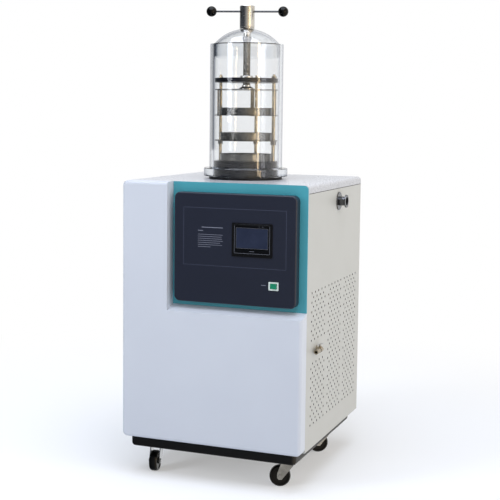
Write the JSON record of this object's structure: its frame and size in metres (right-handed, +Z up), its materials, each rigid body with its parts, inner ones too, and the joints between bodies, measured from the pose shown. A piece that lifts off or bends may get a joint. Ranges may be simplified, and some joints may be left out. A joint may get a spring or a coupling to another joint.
{
  "type": "freeze dryer",
  "caption": "Floor-standing freeze dryer: clear bell chamber with a screw press for trays over a cold trap, on a wheeled cabinet with a control fascia.",
  "frame": {"origin": "on the floor under the middle of the whole object's box", "axes": "+X to the right of someone facing the front, +Y to the rear, +Z up"},
  "size_m": [0.594, 0.597, 1.4273],
  "materials": {
    "front_shell": "satin",
    "side_enamel": "satin",
    "white_enamel": "satin",
    "teal_enamel": "satin",
    "black_enamel": "satin",
    "grey_enamel": "satin",
    "dark_plastic": "satin",
    "black_plastic": "satin",
    "white_plastic": "gloss",
    "green_plastic": "gloss",
    "screen_glass": "polished",
    "zinc_plate": "satin",
    "stainless": "satin",
    "chrome": "polished",
    "copper": "satin",
    "foam": "matte",
    "hose": "satin",
    "compressor_black": "gloss",
    "aluminium_fins": "matte",
    "gasket_rubber": "matte",
    "clear_acrylic": "polished",
    "ball_plastic": "gloss",
    "caster_rubber": "matte"
  },
  "bodies": {
    "cabinet": {"base_frame": "black_enamel", "inner_frame": "grey_enamel", "left_side_panel": "side_enamel", "right_side_panel": "side_enamel", "rear_panel": "side_enamel", "panel_screws": "zinc_plate", "front_panel": "front_shell", "bezel_panel": "teal_enamel", "top_cover": "white_enamel", "control_fascia": "dark_plastic", "screen_housing": "black_plastic", "screen_glass": "screen_glass", "switch_frame": "white_plastic", "control_box": "grey_enamel", "power_inlet": "black_plastic", "cold_trap": "stainless", "evaporator_coil": "copper", "trap_insulation": "foam", "vacuum_pipe": "stainless", "port_escutcheon": "chrome", "drain_valve": "chrome", "drain_pipe": "hose", "compressor": "compressor_black", "condenser_block": "aluminium_fins", "fan_shroud": "zinc_plate", "fan_motor": "compressor_black", "refrigerant_pipes": "copper", "base_gasket": "gasket_rubber", "rack_base_plate": "stainless", "rack_rods": "stainless", "rack_top_plate": "stainless", "screw_nut": "stainless", "rod_nuts": "stainless", "shelf_2": "stainless", "tray_2": "stainless", "tray_3": "stainless", "caster_plates": "zinc_plate"},
    "chamber": {"chamber_cylinder": "clear_acrylic", "chamber_dome": "clear_acrylic", "dome_gland": "stainless"},
    "handle": {"handle_hub": "stainless", "handle_bar": "stainless", "handle_balls": "ball_plastic"},
    "press": {"press_plate": "stainless", "press_foot": "stainless", "shelf_hangers": "stainless", "shelf_1": "stainless", "tray_1": "stainless"},
    "screw": {"press_screw": "stainless"},
    "switch": {"switch_rocker": "green_plastic"},
    "tap_lever": {"drain_lever": "chrome"},
    "fan": {"fan_blade": "black_plastic"},
    "fork_front_left": {"caster_fork_front_left": "zinc_plate"},
    "wheel_front_left": {"caster_wheel_front_left": "caster_rubber"},
    "fork_front_right": {"caster_fork_front_right": "zinc_plate"},
    "wheel_front_right": {"caster_wheel_front_right": "caster_rubber"},
    "fork_rear_left": {"caster_fork_rear_left": "zinc_plate"},
    "wheel_rear_left": {"caster_wheel_rear_left": "caster_rubber"},
    "fork_rear_right": {"caster_fork_rear_right": "zinc_plate"},
    "wheel_rear_right": {"caster_wheel_rear_right": "caster_rubber"}
  },
  "joints": [
    {"name": "chamber_lift", "type": "slide", "parent": "cabinet", "child": "chamber", "axis": [0, 0, 1], "range_m": [0, 0.45]},
    {"name": "handle_spin", "type": "hinge", "parent": "chamber", "child": "handle", "pos_m": [-0.013, -0.0185, 1.3943], "axis": [0, 0, -1], "range_deg": [0, 3600]},
    {"name": "press_travel", "type": "slide", "parent": "cabinet", "child": "press", "axis": [0, 0, -1], "range_m": [0, 0.04]},
    {"name": "screw_spin", "type": "hinge", "parent": "press", "child": "screw", "pos_m": [-0.013, -0.0185, 1.25], "axis": [0, 0, -1], "range_deg": [0, 3600]},
    {"name": "switch_rock", "type": "hinge", "parent": "cabinet", "child": "switch", "pos_m": [0.18, -0.2829, 0.608], "axis": [0, 0, 1], "range_deg": [0, 20]},
    {"name": "tap_turn", "type": "hinge", "parent": "cabinet", "child": "tap_lever", "pos_m": [0.282, -0.1555, 0.4193], "axis": [0, 0, -1], "range_deg": [0, 90]},
    {"name": "fan_spin", "type": "hinge", "parent": "cabinet", "child": "fan", "pos_m": [0.17, 0.0665, 0.34], "axis": [1, 0, 0], "continuous": true},
    {"name": "swivel_front_left", "type": "hinge", "parent": "cabinet", "child": "fork_front_left", "pos_m": [-0.228, -0.1935, 0.077], "axis": [0, 0, 1], "continuous": true},
    {"name": "roll_front_left", "type": "hinge", "parent": "fork_front_left", "child": "wheel_front_left", "pos_m": [-0.22366, -0.21812, 0.0315], "axis": [-0.9848, -0.1736, 0], "continuous": true},
    {"name": "swivel_front_right", "type": "hinge", "parent": "cabinet", "child": "fork_front_right", "pos_m": [0.202, -0.1935, 0.077], "axis": [0, 0, 1], "continuous": true},
    {"name": "roll_front_right", "type": "hinge", "parent": "fork_front_right", "child": "wheel_front_right", "pos_m": [0.17866, -0.20246, 0.0315], "axis": [-0.3584, 0.9336, 0], "continuous": true},
    {"name": "swivel_rear_left", "type": "hinge", "parent": "cabinet", "child": "fork_rear_left", "pos_m": [-0.228, 0.1765, 0.077], "axis": [0, 0, 1], "continuous": true},
    {"name": "roll_rear_left", "type": "hinge", "parent": "fork_rear_left", "child": "wheel_rear_left", "pos_m": [-0.24407, 0.15735, 0.0315], "axis": [-0.766, 0.6428, 0], "continuous": true},
    {"name": "swivel_rear_right", "type": "hinge", "parent": "cabinet", "child": "fork_rear_right", "pos_m": [0.202, 0.1765, 0.077], "axis": [0, 0, 1], "continuous": true},
    {"name": "roll_rear_right", "type": "hinge", "parent": "fork_rear_right", "child": "wheel_rear_right", "pos_m": [0.17916, 0.16633, 0.0315], "axis": [-0.4067, 0.9135, 0], "continuous": true}
  ],
  "couplings": [
    {"joint": "press_travel", "follows": "handle_spin", "m_per_rad": 0.0006366},
    {"joint": "screw_spin", "follows": "handle_spin", "ratio": 1}
  ]
}
